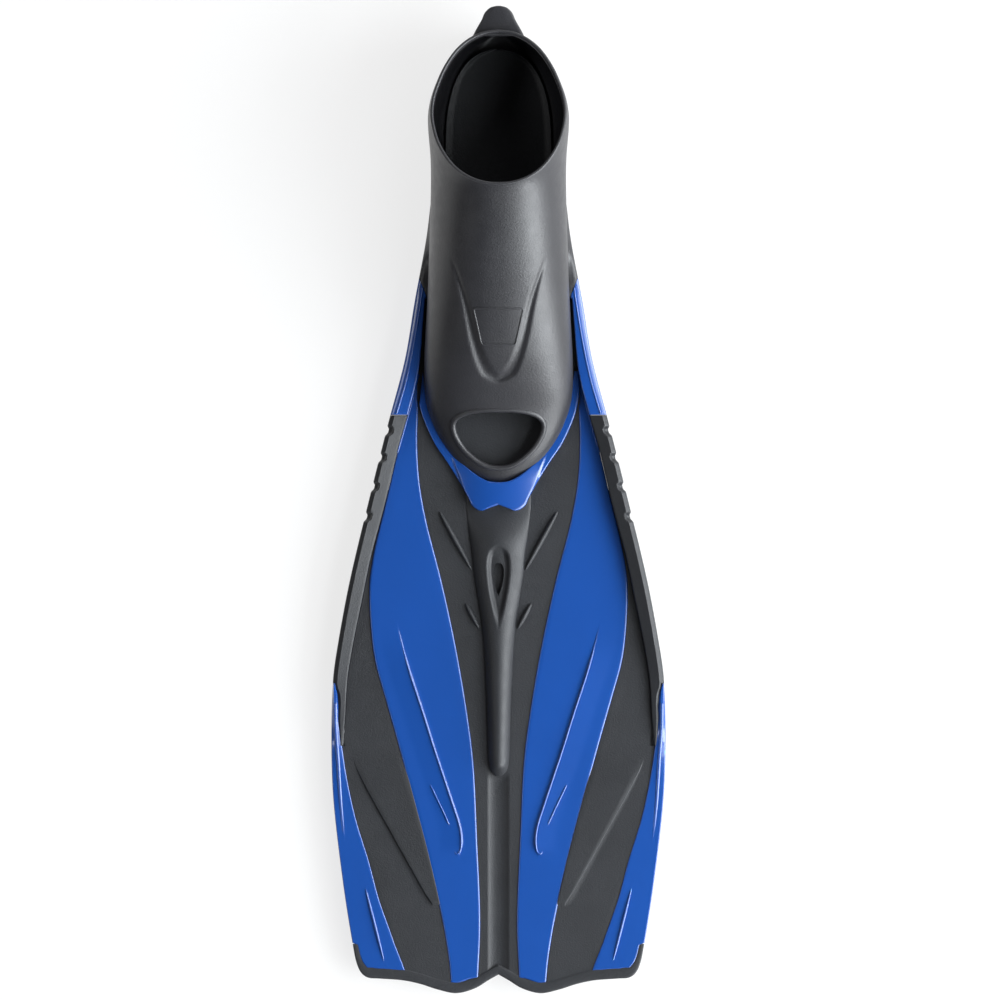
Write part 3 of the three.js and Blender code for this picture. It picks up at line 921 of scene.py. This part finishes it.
def centre_web():
    """The black middle of the blade with its two arms up beside the yoke."""
    def gutter(x, y):
        share = min(abs(x) / GUTTER_HALF, 1.0)
        return 1.5 * (1 - share ** 2.5) * smooth(-160, -166, y)

    def full_top(x, y):
        return channel_top(y) - gutter(x, y)

    def bottom(x, y):
        return 2 * BLADE_Z - channel_top(y)

    def half(y):
        return panel_inner(y) + 0.9

    middle = strip("web", lambda y: -half(y), half, -2, TIP_END_Y, full_top, bottom,
                   radius=0.35, count=44, step=1.4,
                   pins=[lambda y: -GUTTER_HALF, lambda y: GUTTER_HALF], warp=under_hem, round_top=False)
    arm = strip("arm", lambda y: yoke_outer(y) - 3, half, 54, -2, full_top, bottom, radius=0.35, count=12,
                round_end=False)
    ribs = []
    for mirror in (1, -1):
        ribs.append(rib("rib", (mirror * 35, -6.5), (mirror * 15.7, -41.5), 1.6, 2.5, channel_top))
        ribs.append(rib("rib", (mirror * 19.4, -61), (mirror * 11.4, -76), 1.5, 2.3, channel_top))
    other = mirrored(arm, "arm_left")
    web = joined("centre_web", [middle, arm, other, *ribs])
    sharpened(web)
    dress(web, channel_rubber, "channel_rubber", "centre_channel", "channel_root_left", "channel_root_right")


def keel():
    """The raised centre rib, with a teardrop hollow around its vent."""
    recess_half = along((-26, 1), (-30, 5.6), (-38, 7.4), (-50, 6.6), (-64, 4), (-79, 0.6))

    def top(x, y):
        half = keel_half(y)
        share = min(abs(x) / half, 1.0)
        crown = (2.0 + 4.4 * smooth(-5, -26, y)) * smooth(-164, -156, y) * (1 - share ** 2) ** 0.75
        hollow = 0.0
        if -79.5 < y < -25.5:
            across = smooth(recess_half(y), recess_half(y) - 3.4, abs(x))
            hollow = 3.0 * across * smooth(-79, -60, y) * smooth(-26, -34, y)
        return BLADE_Z + 1.5 + crown - hollow

    rib_body = strip("keel_rib", lambda y: -keel_half(y), keel_half, 8, -163, top,
                     lambda x, y: BLADE_Z + 0.2, radius=0.6, count=48, step=1.0)
    rib_body = cut(rib_body, vent_cutter())
    rib_body.name = "keel_rib"
    sharpened(rib_body, 50)
    dress(rib_body, channel_rubber, "channel_rubber", "keel")


def tip_hem():
    """The rubber edge along the tip, ending in the corner bumpers."""
    outer = both_sides_from_centre(HEM_OUTER)
    inner = both_sides_from_centre(HEM_INNER)
    rings = []
    for (ox, oy), (ix, iy) in zip(outer, inner):
        ring = []
        for k in range(20):
            angle = 2 * math.pi * k / 20
            across = math.copysign(abs(math.cos(angle)) ** 0.45, math.cos(angle))
            upward = math.copysign(abs(math.sin(angle)) ** 0.45, math.sin(angle))
            share = (1 + across) / 2
            ring.append((ox + (ix - ox) * share, oy + (iy + 0.9 - oy) * share, BLADE_Z + 1.4 * upward))
        rings.append(ring)
    hem = loft("tip_edge", rings)
    sharpened(hem, 60)
    dress(hem, channel_rubber, "channel_rubber", "tip_hem", body="blade")


def both_sides_from_centre(points):
    right = through(points, 8)
    return [(-x, y) for x, y in reversed(right[1:])] + right


# Heel tab and sole -------------------------------------------------------------------------------

def heel_tab():
    """The pull tab: wide at the shoe, with hollow flanks and a round end."""
    half = along((291, 1.2), (290.2, 4.4), (288, 7.2), (286, 8.6), (283, 9.8), (280, 11.5),
                 (277, 13.2), (272.5, 15.5))

    def top(x, y):
        return 54.6 + 0.8 * smooth(284, 274, y) - 0.4 * smooth(0.6, 0.0, 1 - abs(x) / half(y))

    tab = strip("pull_tab", lambda y: -half(y), half, 291, 273, top, lambda x, y: 51.2,
                radius=1.3, count=16, step=0.8)
    tab.data.materials.append(pocket_rubber)
    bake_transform(tab)
    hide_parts("heel_tab")


def tread():
    """The outsole keeps its shape and gets a ribbed rubber finish."""
    material = moulded("tread_rubber", BLACK, 0.6, 900, 0.5, 0.15, 0.3)
    nodes = material.node_tree.nodes
    links = material.node_tree.links
    place = nodes.new("ShaderNodeTexCoord")
    wave = nodes.new("ShaderNodeTexWave")
    wave.bands_direction = "Y"
    wave.inputs["Scale"].default_value = 55
    wave.inputs["Distortion"].default_value = 1.5
    links.new(place.outputs["Object"], wave.inputs["Vector"])
    bump = nodes.new("ShaderNodeBump")
    bump.inputs["Strength"].default_value = 0.8
    bump.inputs["Distance"].default_value = 0.0012
    links.new(wave.outputs["Fac"], bump.inputs["Height"])
    links.new(bump.outputs["Normal"], nodes["Bump"].inputs["Normal"])
    sole = frame["nodes"]["outsole"]
    sole.data.materials.clear()
    sole.data.materials.append(material)


# Stage -------------------------------------------------------------------------------------------

def plain(name, colour, roughness):
    material = bpy.data.materials.new(name)
    material.use_nodes = True
    shader = material.node_tree.nodes["Principled BSDF"]
    shader.inputs["Base Color"].default_value = (*colour, 1)
    shader.inputs["Roughness"].default_value = roughness
    return material


def floor():
    size = FLOOR_HALF_SIZE
    corners = [(-size, -size, 0), (size, -size, 0), (size, size, 0), (-size, size, 0)]
    mesh = bpy.data.meshes.new("floor")
    mesh.from_pydata(corners, [], [(0, 1, 2, 3)])
    made = bpy.data.objects.new("floor", mesh)
    material = plain("pale_floor", (0.18, 0.18, 0.18), 0.9)
    shader = material.node_tree.nodes["Principled BSDF"]
    shader.inputs["Emission Color"].default_value = (1, 1, 1, 1)
    shader.inputs["Emission Strength"].default_value = FLOOR_GLOW
    mesh.materials.append(material)
    bpy.context.scene.collection.objects.link(made)
    made.location.z = -FLOOR_DROP
    return made


def softbox(name, place, size, power, colour=(1, 1, 1)):
    light = bpy.data.lights.new(name, "AREA")
    light.shape = "RECTANGLE"
    light.size, light.size_y = size
    light.energy = power
    light.color = colour
    made = bpy.data.objects.new(name, light)
    made.location = place
    made.rotation_euler = (Vector((0, 0, 0.02)) - Vector(place)).to_track_quat("-Z", "Y").to_euler()
    bpy.context.scene.collection.objects.link(made)
    return made


def camera():
    """Looks straight down on the fin, heel at the top of the picture."""
    look = bpy.data.cameras.new("camera")
    look.sensor_width = SENSOR_MM
    look.lens = SENSOR_MM * (CAMERA_HEIGHT - BLADE_Z * MM) / VIEW_WIDTH
    look.clip_end = 50
    made = bpy.data.objects.new("camera", look)
    made.location = (CAMERA_X, 0, CAMERA_HEIGHT)
    bpy.context.scene.collection.objects.link(made)
    bpy.context.scene.camera = made
    return made


def world():
    sky = bpy.data.worlds.new("studio")
    sky.use_nodes = True
    nodes = sky.node_tree.nodes
    links = sky.node_tree.links
    place = nodes.new("ShaderNodeTexCoord")
    parts = nodes.new("ShaderNodeSeparateXYZ")
    ramp = nodes.new("ShaderNodeValToRGB")
    ramp.color_ramp.elements[0].position = 0.25
    ramp.color_ramp.elements[0].color = (1, 1, 1, 1)
    ramp.color_ramp.elements[1].position = 0.92
    ramp.color_ramp.elements[1].color = (0.06, 0.06, 0.06, 1)
    links.new(place.outputs["Generated"], parts.inputs["Vector"])
    links.new(parts.outputs["Z"], ramp.inputs["Fac"])
    links.new(ramp.outputs["Color"], nodes["Background"].inputs["Color"])
    across = nodes.new("ShaderNodeMapRange")
    across.inputs["From Min"].default_value = -0.1
    across.inputs["From Max"].default_value = 0.9
    across.inputs["To Min"].default_value = 0.15
    across.inputs["To Max"].default_value = 3.0
    links.new(parts.outputs["X"], across.inputs["Value"])
    links.new(across.outputs["Result"], nodes["Background"].inputs["Strength"])
    bpy.context.scene.world = sky
    bpy.context.scene.view_settings.view_transform = "Standard"


world()
camera()
floor()
softbox("key", (1.5, -0.35, 0.75), (2.1, 1.1), 78, (0.92, 0.97, 1.0))
softbox("high_strip", (0.8, -0.4, 1.4), (2.2, 0.4), 14, (0.92, 0.97, 1.0))
softbox("fill", (-1.4, 0.2, 1.6), (1.8, 0.3), 8)
softbox("back", (0.3, 1.9, 1.3), (1.6, 0.6), 6)
foot_pocket()
footbed()
chassis()
blue_rail()
side_grip()
inner_panel()
outer_panel()
outer_channel()
centre_web()
keel()
tip_hem()
heel_tab()
tread()
